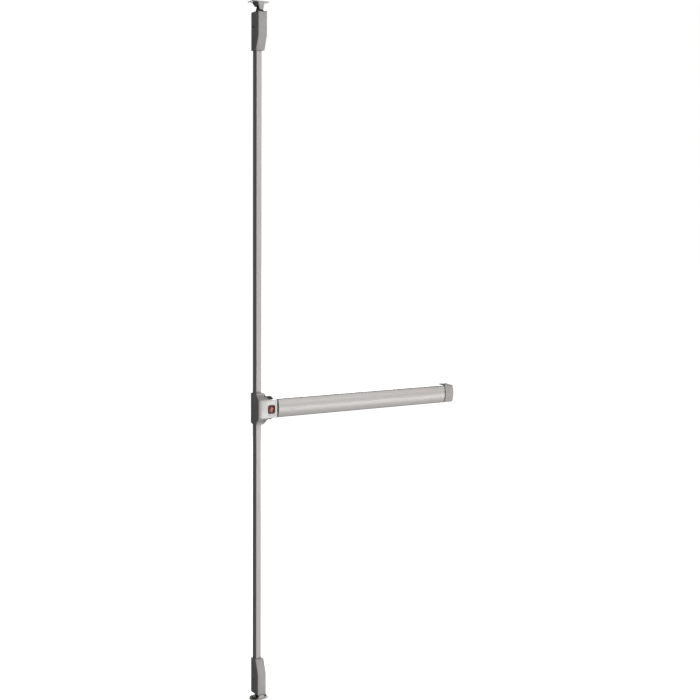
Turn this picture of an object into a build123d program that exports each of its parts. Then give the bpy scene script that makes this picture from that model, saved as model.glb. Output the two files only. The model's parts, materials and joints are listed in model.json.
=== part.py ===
"""Panic exit bar: a push bar that works a top bolt and a bottom bolt through two rods.

X runs along the bar away from the rods, Y runs into the door, Z runs up.
The origin is on the door's face, behind the rods, at the height of the bar's centre line.
"""
from build123d import *
import math
import os

# ---------------------------------------------------------------- driving sizes (mm)
SET_HEIGHT = 2330.0       # top of the top latch case to the bottom of the bottom one
BAR_LINE_HEIGHT = 1008.9  # bottom of the bottom latch case up to the bar's centre line
BAR_LENGTH = 710.0        # aluminium bar profile
BAR_START = 60.0          # left end of the profile
BAR_HEIGHT = 64.2
BAR_FRONT = -60.0         # crown of the bar
BAR_SHOULDER = -53.0      # where the crown's curve starts
BAR_CORNER = 4.0
BAR_BACK = -28.0
BAR_WALL = 2.2
BAR_SLOT = 40.0           # opening between the profile's back lips

ROD_RADIUS = 4.0
ROD_Y = -13.0
CHANNEL_WIDTH = 20.0
CHANNEL_DEPTH = 25.0
CHANNEL_WALL = 1.5
CHANNEL_CORNER = 2.0

LEVER_ARM = 60.0          # lever pin to bar pin
LEVER_HALF_SWING = 10.0   # degrees to each side of the bar's direction
LEVER_PIVOT_X = 28.0
LEVER_PIVOT_Y = -25.0
LEVER_THICK = 10.0
LEVER_PIN_RADIUS = 3.0
LEVER_EYE = 6.5           # round boss about the lever's own pin
BAR_PIN_EYE = 6.5         # the same about the bar pin
LUG_HEIGHT = 8.0          # bearing lugs above and below the lever's tongue
SPRING_SPACE = 8.0        # between a lug and the tongue
SHOULDER_HEIGHT = 80.0    # the left lever's outer arms, top to bottom
HEEL_ARM = 28.0
HEEL_RADIUS = 3.0
HEEL_HEIGHT = 12.6
HEEL_RELIEF = 1.2         # taken off the heel's front so that it clears the cranks
CLIP_THICK = 1.2

CRANK_HALF_SWING = 20.0   # degrees
CRANK_Z = 20.0
CRANK_THICK = 4.0
CRANK_PAD_RADIUS = 3.0
CRANK_PIN_RADIUS = 2.5
DRIVE_PIN_RADIUS = 2.0
CRANK_BOSS = 5.2
CRANK_TIP = 3.2           # round end about the drive pin

BODY_LEFT = -17.5
BODY_HALF_HEIGHT = 54.5
BODY_WALL = 2.2
BODY_RIGHT = 52.0
BODY_FRONT = -56.5
NOSE_SEAT = -54.0
NOSE_FRONT = -59.5
NOSE_RIGHT = 54.0
NOSE_HALF_HEIGHT = 32.0
BADGE_WIDTH = 27.0
BADGE_HEIGHT = 29.0
BADGE_X = 31.0
BADGE_Z = -1.5
BADGE_CORNER = 6.0
BADGE_PROUD = 0.8
MARK_DEPTH = 0.6

POST_X = 10.6             # screw posts of the body cover
POST_Z = BODY_HALF_HEIGHT - 11.0
POST_TOP = -38.3
HEAD_FLOOR = -41.2        # where the cover screws' heads sit
FIX_X = 10.0              # door screws of the mechanism base
FIX_Z = 34.0
BUFFER_X = 44.0
BUFFER_Z = 14.0
BUFFER_TOP = -13.6

CASE_LENGTH = 122.0
CASE_WIDTH = 33.0
CASE_DEPTH = 51.0
CASE_NECK_DEPTH = 33.6
CASE_TAPER_START = 76.0
CASE_WALL = 2.0
TOP_BOLT_THROW = 30.0     # from the case's end to the tip
FLOOR_BOLT_THROW = 19.5
BOLT_WIDTH = 24.0
BOLT_BACK = -22.0         # the face that holds the door
BOLT_FRONT = -34.5
BOLT_ROD_TOP = 32.0       # distances from the case's free end
BOLT_BODY_END = 52.0
SPRING_SEAT = 108.0
SPRING_WIRE = 0.8
SPRING_TURNS = 10
CASE_SCREW_W = 46.0
CASE_SCREW_Y = -14.5
CASE_FIX_W = (14.0, 92.0)
GUIDE_PLACES = (0.03, 0.34, 0.66, 0.97)   # shares of the channel's length
GUIDE_LENGTH = 24.0

STRIKE_PLATE = 3.0
STRIKE_GAP = 33.0         # top of the top case up to the strike plate
FLOOR_GAP = 16.0          # bottom of the bottom case down to the floor plate
FLOOR_PLATE = 4.0
STRIKE_HALF_WIDTH = 29.0
STRIKE_DEPTH = 41.0
STRIKE_HOLE = 2.6
FLOOR_LENGTH = 68.0
FLOOR_WIDTH = 48.0
FLOOR_Y = -26.0
SOCKET_LENGTH = 60.0
SOCKET_WIDTH = 30.6
SOCKET_Y = -23.0

CAP_LEFT_GAP = 3.6        # bar's end to the end cap
CAP_LENGTH = 37.6
CAP_BACK = -48.0
CAP_SCREW_Y = -53.0
LEFT_FLANGE = 4.4         # plug flanges that show at the bar's ends
RIGHT_FLANGE = 2.0

BASE_PLATE = 3.0
FIXING_RADIUS = 2.75      # holes for the door screws

RUN = 0.05                # radial clearance of a turning fit
SLOT_RUN = 0.2            # the same in the right lever's slot, where the pin also drifts sideways
SEAT = 0.02               # radial clearance of a pin held in its seat
GAP = 0.3                 # between pieces that don't touch
NUT_HEIGHT = 5.0
NUT_ACROSS = 13.0
SCREW_RADIUS = 1.6        # thread of the cover, plug and cap screws
SCREW_HOLE = 1.9
SCREW_HEAD = 3.2
PLUG_HEAD = 3.0
PLUG_SCREW_LENGTH = 13.0
PIN_SEAT = 24.0           # half length of the bar pins

# ---------------------------------------------------------------- worked out from them
TOP_END = SET_HEIGHT - BAR_LINE_HEIGHT
BOTTOM_END = -BAR_LINE_HEIGHT
BAR_END = BAR_START + BAR_LENGTH
HALF_BAR = BAR_HEIGHT / 2
LUG_HIGH = HALF_BAR - 5.8
LUG_LOW = LUG_HIGH - LUG_HEIGHT
TONGUE_HEIGHT = 2 * (LUG_LOW - SPRING_SPACE)
SWING = math.radians(LEVER_HALF_SWING)
BAR_PIN_X = LEVER_PIVOT_X + LEVER_ARM * math.cos(SWING)
BAR_PIN_Y = LEVER_PIVOT_Y - LEVER_ARM * math.sin(SWING)
END_PIVOT_X = BAR_END + BAR_START - LEVER_PIVOT_X
MIRROR_X = (LEVER_PIVOT_X + END_PIVOT_X) / 2
SLOT_TRAVEL = 2 * LEVER_ARM * (1 - math.cos(SWING))
PLUG_END = BAR_PIN_X + 19.0
PLUG_SCREW_X = PLUG_END - 9.0
PLUG_SCREW_Z = HALF_BAR - BAR_WALL - 5.0
PIN_TOP = SHOULDER_HEIGHT / 2 + 0.4
ACROSS = Plane.YZ.offset(MIRROR_X)

CRANK_SWING = math.radians(CRANK_HALF_SWING)
HEEL_RISE = HEEL_ARM * math.sin(SWING)
CRANK_IN = HEEL_RISE / math.sin(CRANK_SWING)
CRANK_Y = LEVER_PIVOT_Y - HEEL_RADIUS - CRANK_PAD_RADIUS - 0.1
CRANK_OUT = (ROD_Y - CRANK_Y) / math.cos(CRANK_SWING)
DRIVE_Z = CRANK_Z + CRANK_OUT * math.sin(CRANK_SWING)
ROD_TRAVEL = 2 * CRANK_OUT * math.sin(CRANK_SWING)
PIN_DRIFT = CRANK_OUT * (1 - math.cos(CRANK_SWING))

FORK_HALF = 5.5
FORK_DEPTH = 12.0
FORK_FOOT = DRIVE_Z - 5.0
FORK_TOP = DRIVE_Z + 14.0
ROD_FOOT = DRIVE_Z + 8.0
CRANK_LUG_IN = FORK_HALF + 1.0
CRANK_LUG_OUT = CRANK_LUG_IN + 2.5
CHANNEL_START = BODY_HALF_HEIGHT - 4.0
CHANNEL_CLEAR = CHANNEL_WIDTH / 2 + GAP
CASE_SEAT = CASE_LENGTH - 6.0
CAP_LEFT = BAR_END + CAP_LEFT_GAP
CAP_RIGHT = CAP_LEFT + CAP_LENGTH


# ---------------------------------------------------------------- small helpers
def block(x, y, z):
    """Box between two values along each axis, given in any order."""
    spans = [sorted(pair) for pair in (x, y, z)]
    middle = [(low + high) / 2 for low, high in spans]
    return Pos(*middle) * Box(*[high - low for low, high in spans])


def round_x(x, y, z, r):
    low, high = sorted(x)
    return Pos((low + high) / 2, y, z) * Rot(0, 90, 0) * Cylinder(r, high - low)


def round_y(x, y, z, r):
    low, high = sorted(y)
    return Pos(x, (low + high) / 2, z) * Rot(90, 0, 0) * Cylinder(r, high - low)


def round_z(x, y, z, r):
    low, high = sorted(z)
    return Pos(x, y, (low + high) / 2) * Cylinder(r, high - low)


def prism_x(points, x):
    """Outline in (Y, Z) extruded along X."""
    low, high = sorted(x)
    face = make_face(Plane.YZ.offset(low) * Polyline(*points, close=True))
    return extrude(face, amount=high - low, dir=(1, 0, 0))


def prism_y(points, y):
    """Outline in (X, Z) extruded along Y."""
    low, high = sorted(y)
    face = make_face(Polyline(*[(px, low, pz) for px, pz in points], close=True))
    return extrude(face, amount=high - low, dir=(0, 1, 0))


def prism_z(points, z):
    """Outline in (X, Y) extruded along Z."""
    low, high = sorted(z)
    face = make_face(Polyline(*[(px, py, low) for px, py in points], close=True))
    return extrude(face, amount=high - low, dir=(0, 0, 1))


def flip_z(shape):
    return mirror(shape, about=Plane.XY)


def both(shape):
    """The shape and its mirror image below the centre line."""
    return shape + flip_z(shape)


def soften(shape, size, keep):
    """Fillet the edges that the test keeps."""
    edges = [e for e in shape.edges() if keep(e.center())]
    return fillet(edges, size)


def hex_nut(z, across, bore):
    low, high = sorted(z)
    corner = across / math.sqrt(3)
    sides = Pos(0, ROD_Y, low) * Rot(0, 0, 30) * RegularPolygon(corner, 6)
    return extrude(sides, amount=high - low, dir=(0, 0, 1)) - round_z(0, ROD_Y, z, bore)


def coil(radius, wire, height, turns):
    """Round-wire spring that starts at Z 0 and winds up its own axis."""
    path = Helix(pitch=height / turns, height=height, radius=radius)
    section = Plane(origin=path @ 0, z_dir=path % 0) * Circle(wire)
    return sweep(section, path=path, is_frenet=True)


def corner_edges(shape):
    """Edges that run along Y."""
    return [e for e in shape.edges() if abs(e.tangent_at(0.5).Y) > 0.99]


parts = {}


def keep(name, shape):
    """Store one node."""
    shape.label = name
    parts[name] = shape


# ---------------------------------------------------------------- push bar
def bar_outline(inset):
    """D-shaped section of the bar, drawn in (Y, Z) and shrunk by the inset."""
    half = HALF_BAR
    curve = ThreePointArc((BAR_SHOULDER, -half), (BAR_FRONT, 0), (BAR_SHOULDER, half))
    sides = Polyline((BAR_SHOULDER, half), (BAR_BACK, half), (BAR_BACK, -half), (BAR_SHOULDER, -half))
    face = make_face(curve + sides)
    corners = [v for v in face.vertices() if abs(v.X - BAR_SHOULDER) < 0.01]
    face = fillet(corners, BAR_CORNER)
    return offset(face, amount=-inset) if inset else face


def bar_section(inset, x):
    low, high = sorted(x)
    return Plane.YZ.offset(low) * extrude(bar_outline(inset), amount=high - low)


profile = bar_section(0, (BAR_START, BAR_END))
profile -= bar_section(BAR_WALL, (BAR_START - 1, BAR_END + 1))
lips = (BAR_BACK - BAR_WALL - 1, BAR_BACK + 1)
profile -= block((BAR_START - 1, BAR_END + 1), lips, (-BAR_SLOT / 2, BAR_SLOT / 2))


def bar_plug(flange_thick):
    """Plug in the bar's left end, with a throat for the lever and a flange over the end."""
    shape = bar_section(BAR_WALL + 0.25, (BAR_START - 0.3, PLUG_END))
    throat = TONGUE_HEIGHT / 2 + 2 * GAP
    flange_back = LEVER_PIVOT_Y - 12.0
    flange = bar_section(0, (BAR_START - flange_thick, BAR_START - 0.3))
    shape += flange & block((0, BAR_END), (BAR_FRONT, flange_back), (-HALF_BAR, HALF_BAR))
    shape -= block((0, PLUG_END - 5), (BAR_PIN_Y - 12.2, 0), (-throat, throat))
    shape -= round_z(BAR_PIN_X, BAR_PIN_Y, (-PIN_SEAT - 1, PIN_SEAT + 1), LEVER_PIN_RADIUS + SEAT)
    for side in (1, -1):
        depth = (BAR_BACK - PLUG_SCREW_LENGTH - 1, BAR_BACK + 1)
        shape -= round_y(PLUG_SCREW_X, depth, side * PLUG_SCREW_Z, SCREW_RADIUS + SEAT)
    return shape


plug_screws = Part()
for side in (1, -1):
    z = side * PLUG_SCREW_Z
    for x in (PLUG_SCREW_X, 2 * MIRROR_X - PLUG_SCREW_X):
        profile -= round_y(x, (BAR_BACK - 3, BAR_BACK + 1), z, SCREW_HOLE)
    plug_screws += round_y(PLUG_SCREW_X, (BAR_BACK - PLUG_SCREW_LENGTH, BAR_BACK + 0.2), z, SCREW_RADIUS)
    plug_screws += round_y(PLUG_SCREW_X, (BAR_BACK + 0.1, BAR_BACK + 2), z, PLUG_HEAD)
bar_pin = round_z(BAR_PIN_X, BAR_PIN_Y, (-PIN_SEAT, PIN_SEAT), LEVER_PIN_RADIUS)

keep("push_bar_profile", profile)
keep("left_bar_plug", bar_plug(LEFT_FLANGE))
keep("right_bar_plug", mirror(bar_plug(RIGHT_FLANGE), about=ACROSS))
keep("left_bar_pin", bar_pin)
keep("right_bar_pin", mirror(bar_pin, about=ACROSS))
keep("left_plug_screws", plug_screws)
keep("right_plug_screws", mirror(plug_screws, about=ACROSS))


# ---------------------------------------------------------------- levers
def lever(slot):
    """Lever about its own pin, arm along +X; the slot lengthens the bar pin's hole."""
    half = TONGUE_HEIGHT / 2
    thick = LEVER_THICK / 2
    shape = round_z(0, 0, (-half, half), LEVER_EYE)
    shape += block((0, LEVER_ARM), (-thick, thick), (-half, half))
    shape += round_z(LEVER_ARM, 0, (-half, half), BAR_PIN_EYE)
    hole = LEVER_PIN_RADIUS + (SLOT_RUN if slot else RUN)
    shape -= round_z(LEVER_ARM, 0, (-half - 1, half + 1), hole)
    if slot:
        shape -= round_z(LEVER_ARM - slot, 0, (-half - 1, half + 1), hole)
        shape -= block((LEVER_ARM - slot, LEVER_ARM), (-hole, hole), (-half - 1, half + 1))
    return shape


def shoulders():
    """Outer arms of the left lever and the web that joins them to the tongue."""
    half = SHOULDER_HEIGHT / 2
    thick = LEVER_THICK / 2
    low = LUG_HIGH + 1.0
    step = HALF_BAR + 0.7
    web = [(10, -half), (17, -half), (23, -step), (26.6, -step), (26.6, step), (23, step), (17, half),
           (10, half)]
    arm = block((-10, 12), (-thick, thick), (low, half)) + round_z(0, 0, (low, half), LEVER_EYE)
    return prism_y(web, (-thick, thick)) + both(arm)


def heel():
    """Arm behind the left lever's pin, with a round end that pushes both cranks."""
    half = HEEL_HEIGHT / 2
    arm = block((-HEEL_ARM, 0), (HEEL_RELIEF - HEEL_RADIUS, HEEL_RADIUS), (-half, half))
    return arm + round_z(-HEEL_ARM, 0, (-half, half), HEEL_RADIUS)


bore = round_z(0, 0, (-60, 60), LEVER_PIN_RADIUS + RUN)
at_left = Pos(LEVER_PIVOT_X, LEVER_PIVOT_Y, 0) * Rot(0, 0, -LEVER_HALF_SWING)
keep("left_lever", at_left * (lever(0) + shoulders() + heel() - bore))
at_right = at_left * (lever(SLOT_TRAVEL + 0.2) - bore)
keep("right_lever", mirror(at_right, about=ACROSS))


def pin_and_clip(x, top):
    """Hinge pin with a head above and a ring clip below."""
    pin = round_z(x, LEVER_PIVOT_Y, (-top - 2.0, top + 0.5), LEVER_PIN_RADIUS)
    pin += round_z(x, LEVER_PIVOT_Y, (top, top + 1.6), 5.0)
    clip = round_z(x, LEVER_PIVOT_Y, (-top - CLIP_THICK, -top), 5.5)
    clip -= round_z(x, LEVER_PIVOT_Y, (-top - 3, top), LEVER_PIN_RADIUS + SEAT)
    return pin, clip


left_pin, left_clip = pin_and_clip(LEVER_PIVOT_X, PIN_TOP)
right_pin, right_clip = pin_and_clip(END_PIVOT_X, LUG_HIGH + 0.3)
keep("left_lever_pin", left_pin)
keep("right_lever_pin", right_pin)
keep("left_pin_clip", left_clip)
keep("right_pin_clip", right_clip)


def return_spring(x, hand):
    """Torsion spring round a lever pin, with one leg to the base and one to the lever."""
    wire = 0.6
    radius = LEVER_PIN_RADIUS + 2.2
    low = TONGUE_HEIGHT / 2 + wire + 0.4
    height = LUG_LOW - low - wire - 0.4
    shape = coil(radius, wire, height, 4)
    shape += Pos(radius, 7.5, 0) * Rot(90, 0, 0) * Cylinder(wire, 15)
    shape += Pos(radius - 1.5, 0, height) * Rot(0, 90, 0) * Cylinder(wire, 3)
    turned = shape if hand > 0 else mirror(shape, about=Plane.YZ)
    return Pos(x, LEVER_PIVOT_Y, low) * turned


keep("left_return_spring", return_spring(LEVER_PIVOT_X, 1))
keep("right_return_spring", return_spring(END_PIVOT_X, -1))


# ---------------------------------------------------------------- mechanism base
def bearing_lugs(x, hole):
    """A pair of lugs above and below the lever's tongue."""
    lug = round_z(x, LEVER_PIVOT_Y, (LUG_LOW, LUG_HIGH), 6.8)
    lug += block((x - 4.5, x + 3.5), (LEVER_PIVOT_Y, -1), (LUG_LOW, LUG_HIGH))
    lug -= round_z(x, LEVER_PIVOT_Y, (LUG_LOW - 1, LUG_HIGH + 1), hole)
    return both(lug)


plate_thick = (-BASE_PLATE, 0)
tall = CHANNEL_START - 3.5
base = block((BODY_LEFT + BODY_WALL + 0.4, 11.5), plate_thick, (-tall, tall))
base += block((11, 16.5), plate_thick, (-FIX_Z - 5, FIX_Z + 5))
base += block((16, BODY_RIGHT - 3), plate_thick, (-LUG_HIGH - 0.2, LUG_HIGH + 0.2))
base += bearing_lugs(LEVER_PIVOT_X, LEVER_PIN_RADIUS + SEAT)
for side in (1, -1):
    span = (side * CRANK_LUG_IN, side * CRANK_LUG_OUT)
    base += both(block(span, (-1, CRANK_Y - 4.5), (CRANK_Z - 6, CRANK_Z + 6)))
base += both(round_y(POST_X, (POST_TOP, -1), POST_Z, 3.0))
base -= both(round_x((-12, 12), CRANK_Y, CRANK_Z, CRANK_PIN_RADIUS + SEAT))
base -= both(round_y(POST_X, (POST_TOP - 1, POST_TOP + 14), POST_Z, SCREW_RADIUS + SEAT))
for x in (-FIX_X, FIX_X):
    base -= both(round_y(x, (-4, 1), FIX_Z, FIXING_RADIUS))
keep("mechanism_base", base)

buffers = both(round_y(BUFFER_X, (BUFFER_TOP, -BASE_PLATE), BUFFER_Z, 3.5))
keep("lever_buffers", buffers)


# ---------------------------------------------------------------- bell cranks, forks
def crank(z_out):
    """Bell crank seen along X; z_out is where its output pin starts."""
    half = CRANK_THICK / 2
    tip_y = CRANK_Y + CRANK_IN * math.sin(CRANK_SWING)
    tip_z = CRANK_Z - CRANK_IN * math.cos(CRANK_SWING)
    shape = round_x((-half, half), CRANK_Y, CRANK_Z, CRANK_BOSS)
    for (y, z, r) in ((tip_y, tip_z, CRANK_PAD_RADIUS), (ROD_Y, z_out, CRANK_TIP)):
        span = math.hypot(y - CRANK_Y, z - CRANK_Z)
        turn = math.degrees(math.atan2(z - CRANK_Z, y - CRANK_Y))
        arm = Pos(0, span / 2, 0) * Box(CRANK_THICK, span, 2 * r)
        shape += Pos(0, CRANK_Y, CRANK_Z) * Rot(turn, 0, 0) * arm
        shape += round_x((-half, half), y, z, r)
    shape -= round_x((-9, 9), CRANK_Y, CRANK_Z, CRANK_PIN_RADIUS + RUN)
    shape -= round_x((-9, 9), ROD_Y, z_out, DRIVE_PIN_RADIUS + SEAT)
    return shape


upper_crank = crank(DRIVE_Z)
crank_pin = round_x((-CRANK_LUG_OUT - 0.8, CRANK_LUG_OUT + 0.8), CRANK_Y, CRANK_Z, CRANK_PIN_RADIUS)
drive_pin = round_x((-FORK_HALF, FORK_HALF), ROD_Y, DRIVE_Z, DRIVE_PIN_RADIUS)

deep = FORK_DEPTH / 2
cheek_gap = CRANK_THICK / 2 + 0.4
pin_room = DRIVE_PIN_RADIUS + 0.25
slot_ends = (ROD_Y - GAP, ROD_Y + PIN_DRIFT + GAP)
fork = block((-FORK_HALF, FORK_HALF), (ROD_Y - deep, ROD_Y + deep), (FORK_FOOT, FORK_TOP))
fork -= block((-cheek_gap, cheek_gap), (ROD_Y - 9, ROD_Y + 9), (FORK_FOOT - 1, DRIVE_Z + 6.6))
fork -= block((-9, 9), slot_ends, (DRIVE_Z - pin_room, DRIVE_Z + pin_room))
for y in slot_ends:
    fork -= round_x((-9, 9), y, DRIVE_Z, pin_room)
fork -= round_z(0, ROD_Y, (ROD_FOOT - GAP, FORK_TOP + 1), ROD_RADIUS + SEAT)
lock_nut = hex_nut((FORK_TOP + 0.1, FORK_TOP + 0.1 + NUT_HEIGHT), NUT_ACROSS, ROD_RADIUS + SEAT)

for name, shape in (("crank", upper_crank), ("crank_pin", crank_pin), ("drive_pin", drive_pin),
                    ("rod_fork", fork), ("fork_nut", lock_nut)):
    keep("upper_" + name, shape)
    keep("lower_" + name, flip_z(shape))


# ---------------------------------------------------------------- body cover and nose
def body_outline():
    """T-shaped front view of the body cover, with concave shoulders on the bar's side."""
    top = BODY_HALF_HEIGHT
    low = NOSE_HALF_HEIGHT + 0.1
    arm = NOSE_HALF_HEIGHT - 2.0
    edges = []
    for side in (1, -1):
        lobe = (15.6, side * (top - 7.5))
        waist = (17.2, side * (top - 12))
        edges.append(ThreePointArc((6, side * top), (12.2, side * (top - 2.2)), lobe))
        edges.append(Line(lobe, waist))
        edges.append(ThreePointArc(waist, (20.8, side * (low + 3.2)), (29, side * low)))
        edges.append(Polyline((29, side * low), (33, side * low), (33, side * arm),
                              (BODY_RIGHT, side * arm)))
        edges.append(Line((BODY_LEFT, side * top), (6, side * top)))
    edges.append(Line((BODY_LEFT, -top), (BODY_LEFT, top)))
    edges.append(Line((BODY_RIGHT, -arm), (BODY_RIGHT, arm)))
    return make_face(Curve() + edges)


def body_profile(back):
    """Side view of the body cover in (Y, Z)."""
    top = BODY_HALF_HEIGHT
    low = NOSE_HALF_HEIGHT + 0.1
    half = [(back, top - 4), (0, top - 4), (-10, top), (-40, top), (-41.5, top - 1.5),
            (-41.5, top - 6), (BODY_FRONT, low + 1.5), (BODY_FRONT, low), (NOSE_SEAT, low)]
    return half + [(y, -z) for y, z in reversed(half)]


def body_solid(inset):
    """Body cover as a solid block, shrunk by the inset on every side but the back."""
    face = body_outline()
    side = make_face(Plane.YZ * Polyline(*body_profile(8), close=True))
    if inset:
        face = offset(face, amount=-inset, kind=Kind.INTERSECTION)
        side = offset(side, amount=-inset, kind=Kind.INTERSECTION)
    front = Plane.XZ * extrude(face, amount=80)
    across_body = Pos(-40, 0, 0) * extrude(side, amount=120, dir=(1, 0, 0))
    return front & across_body


cover = body_solid(0)
cavity = body_solid(BODY_WALL) + block((-15, 15), (-10, 1), (-20, 20))
cover -= cavity
boss = both(round_y(POST_X, (POST_TOP - GAP, -60), POST_Z, 4.8))
cover += boss & body_solid(0)
cover -= both(round_y(POST_X, (HEAD_FLOOR, -60), POST_Z, SCREW_HEAD + 0.4))
cover -= both(round_y(POST_X, (-30, -60), POST_Z, SCREW_HOLE))
lever_clear = LEVER_PIVOT_Y - 10.5
cover -= block((16, 70), (lever_clear, 9), (-PIN_TOP - 3, PIN_TOP + 3))
cover -= block((34, 70), (lever_clear - 1.5, 9), (-45, 45))
channel_mouth = (CHANNEL_START - 2, BODY_HALF_HEIGHT + 1)
cover -= both(block((-CHANNEL_CLEAR, CHANNEL_CLEAR), (-CHANNEL_DEPTH - GAP, 9), channel_mouth))
cover -= block((-30, 60), (0, 20), (-70, 70))
keep("body_cover", cover)

screws = round_y(POST_X, (HEAD_FLOOR - 0.05, HEAD_FLOOR - 2.0), POST_Z, SCREW_HEAD)
screws += round_y(POST_X, (HEAD_FLOOR, POST_TOP + 13), POST_Z, SCREW_RADIUS)
slot_depth = (HEAD_FLOOR - 1, HEAD_FLOOR - 3)
screws -= block((POST_X - 2.4, POST_X + 2.4), slot_depth, (POST_Z - 0.4, POST_Z + 0.4))
keep("body_screws", both(screws))

skirt = NOSE_SEAT + 14
lap = BODY_RIGHT + 0.15
nose_points = [(BODY_LEFT, NOSE_SEAT), (BODY_LEFT, NOSE_SEAT - 2.4), (BODY_LEFT + 3, NOSE_SEAT - 4.0),
               (0, NOSE_FRONT + 0.4), (14, NOSE_FRONT), (NOSE_RIGHT, NOSE_FRONT),
               (NOSE_RIGHT, skirt), (lap, skirt), (lap, NOSE_SEAT)]
nose = prism_z(nose_points, (-NOSE_HALF_HEIGHT, NOSE_HALF_HEIGHT))
arm_edge = NOSE_HALF_HEIGHT - 2.0 + 0.15
nose += both(block((33.3, NOSE_RIGHT), (NOSE_SEAT - 1, skirt), (arm_edge, NOSE_HALF_HEIGHT)))
nose = soften(nose, 1.6, lambda c: abs(abs(c.Z) - NOSE_HALF_HEIGHT) < 0.01 and c.Y < NOSE_SEAT - 3 or
              (abs(c.X - NOSE_RIGHT) < 0.01 and abs(c.Y - NOSE_FRONT) < 0.01))
badge_x = (BADGE_X - BADGE_WIDTH / 2, BADGE_X + BADGE_WIDTH / 2)
badge_z = (BADGE_Z - BADGE_HEIGHT / 2, BADGE_Z + BADGE_HEIGHT / 2)
pocket = block((badge_x[0] - 0.1, badge_x[1] + 0.1), (NOSE_FRONT + 1.5, NOSE_FRONT - 3),
               (badge_z[0] - 0.1, badge_z[1] + 0.1))
badge_front = NOSE_FRONT - BADGE_PROUD
badge = block(badge_x, (NOSE_FRONT + 1.5, badge_front), badge_z)
nose -= fillet(corner_edges(pocket), BADGE_CORNER + 0.1)
badge = fillet(corner_edges(badge), BADGE_CORNER)
mark = [(-6.5, 1), (0, 10), (6.5, 1), (2.8, 1), (2.8, -10), (-2.8, -10), (-2.8, 1)]
mark = [(BADGE_X + mx, BADGE_Z + mz) for mx, mz in mark]
arrow = prism_y(mark, (badge_front, badge_front + MARK_DEPTH))
badge -= arrow
keep("nose_cover", nose)
keep("push_badge", badge)
keep("badge_mark", arrow)


# ---------------------------------------------------------------- rods, channels, guides
def column(sign, end, nodes):
    """Rod, channel and guides from the mechanism to a latch case; end is the case's free end."""
    neck = end - sign * CASE_SEAT
    start = sign * CHANNEL_START
    half = CHANNEL_WIDTH / 2
    channel = block((-half, half), (-CHANNEL_DEPTH, 0), (start, neck))
    channel = soften(channel, CHANNEL_CORNER,
                     lambda c: abs(abs(c.X) - half) < 0.01 and abs(c.Y + CHANNEL_DEPTH) < 0.01)
    inner = half - CHANNEL_WALL
    front = -CHANNEL_DEPTH + CHANNEL_WALL
    channel -= block((-inner, inner), (front, 1), (start - sign, neck + sign))
    guides = Part()
    for share in GUIDE_PLACES:
        z = start + share * (neck - start)
        span = (z - GUIDE_LENGTH / 2, z + GUIDE_LENGTH / 2)
        guide = block((-inner + 0.1, inner - 0.1), (front + 0.1, -0.2), span)
        guides += guide - round_z(0, ROD_Y, (z - GUIDE_LENGTH, z + GUIDE_LENGTH), ROD_RADIUS + GAP)
    nodes["rod_channel"] = channel
    nodes["rod"] = round_z(0, ROD_Y, (sign * ROD_FOOT, end - sign * BOLT_ROD_TOP), ROD_RADIUS)
    nodes["rod_guides"] = guides


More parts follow.
